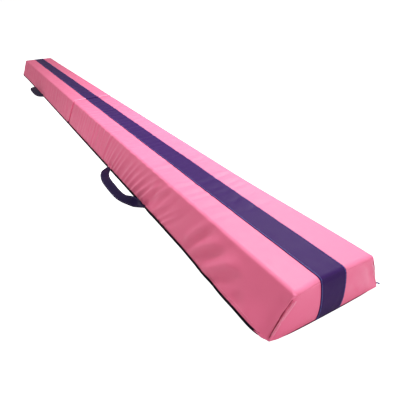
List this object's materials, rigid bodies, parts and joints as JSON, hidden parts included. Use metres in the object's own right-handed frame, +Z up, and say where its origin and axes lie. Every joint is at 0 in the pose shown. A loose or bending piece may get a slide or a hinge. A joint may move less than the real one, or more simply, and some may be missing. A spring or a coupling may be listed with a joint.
{
  "type": "folding floor balance beam",
  "caption": "Low padded floor beam that folds top to top: sloped sides, violet centre stripe, carry loops along one long edge and a zipped cover.",
  "frame": {"origin": "on the floor, at the middle of the beam's length (the fold) and of its base width", "axes": "+X along the beam to the right half, -Y towards the handle side, +Z up"},
  "size_m": [2.44, 0.267, 0.0829],
  "materials": {
    "cover_vinyl": "satin pink PVC-coated cover fabric",
    "stripe_vinyl": "satin violet PVC-coated fabric",
    "strap_vinyl": "satin dark violet PVC strap, folded and stitched",
    "base_sheet": "matt black non-slip sheet",
    "foam": "closed-cell foam board",
    "zip_tape": "woven tape",
    "zip_coil": "nylon coil",
    "zip_metal": "plated metal"
  },
  "bodies": {
    "left_half": {"left_core_lower": "foam", "left_core_upper": "foam", "left_cover": "cover_vinyl", "left_fold_panel": "cover_vinyl", "left_stripe": "stripe_vinyl", "left_base": "base_sheet", "left_handle_tabs": "strap_vinyl", "left_zip_tapes": "zip_tape", "left_zip_coil": "zip_coil", "left_zip_stops": "zip_metal", "left_hinge_flap": "cover_vinyl", "hinge_bead": "cover_vinyl"},
    "right_half": {"right_core_lower": "foam", "right_core_upper": "foam", "right_cover": "cover_vinyl", "right_fold_panel": "cover_vinyl", "right_stripe": "stripe_vinyl", "right_base": "base_sheet", "right_handle_tabs": "strap_vinyl", "right_zip_tapes": "zip_tape", "right_zip_coil": "zip_coil", "right_zip_stops": "zip_metal", "right_hinge_flap": "cover_vinyl"},
    "left_handle": {"left_handle": "strap_vinyl"},
    "left_zip_slider": {"left_zip_slider": "zip_metal"},
    "left_zip_pull": {"left_zip_pull": "zip_metal"},
    "right_handle": {"right_handle": "strap_vinyl"},
    "right_zip_slider": {"right_zip_slider": "zip_metal"},
    "right_zip_pull": {"right_zip_pull": "zip_metal"}
  },
  "joints": [
    {"name": "fold_hinge", "type": "hinge", "parent": "left_half", "child": "right_half", "pos_m": [0, 0, 0.0815], "axis": [0, -1, 0], "range_deg": [0, 180]},
    {"name": "left_handle_swing", "type": "hinge", "parent": "left_half", "child": "left_handle", "pos_m": [-0.635, -0.115, 0.0025], "axis": [-1, 0, 0], "range_deg": [0, 112]},
    {"name": "left_zip_slide", "type": "slide", "parent": "left_half", "child": "left_zip_slider", "axis": [1, 0, 0], "range_m": [0, 1.1425]},
    {"name": "left_pull_flip", "type": "hinge", "parent": "left_zip_slider", "child": "left_zip_pull", "pos_m": [-1.18825, 0.11067, 0.01059], "axis": [0, -0.4382, 0.8989], "range_deg": [0, 180]},
    {"name": "right_handle_swing", "type": "hinge", "parent": "right_half", "child": "right_handle", "pos_m": [0.635, -0.115, 0.0025], "axis": [-1, 0, 0], "range_deg": [0, 112]},
    {"name": "right_zip_slide", "type": "slide", "parent": "right_half", "child": "right_zip_slider", "axis": [-1, 0, 0], "range_m": [0, 1.1425]},
    {"name": "right_pull_flip", "type": "hinge", "parent": "right_zip_slider", "child": "right_zip_pull", "pos_m": [1.18825, 0.11067, 0.01059], "axis": [0, 0.4382, -0.8989], "range_deg": [0, 180]}
  ]
}
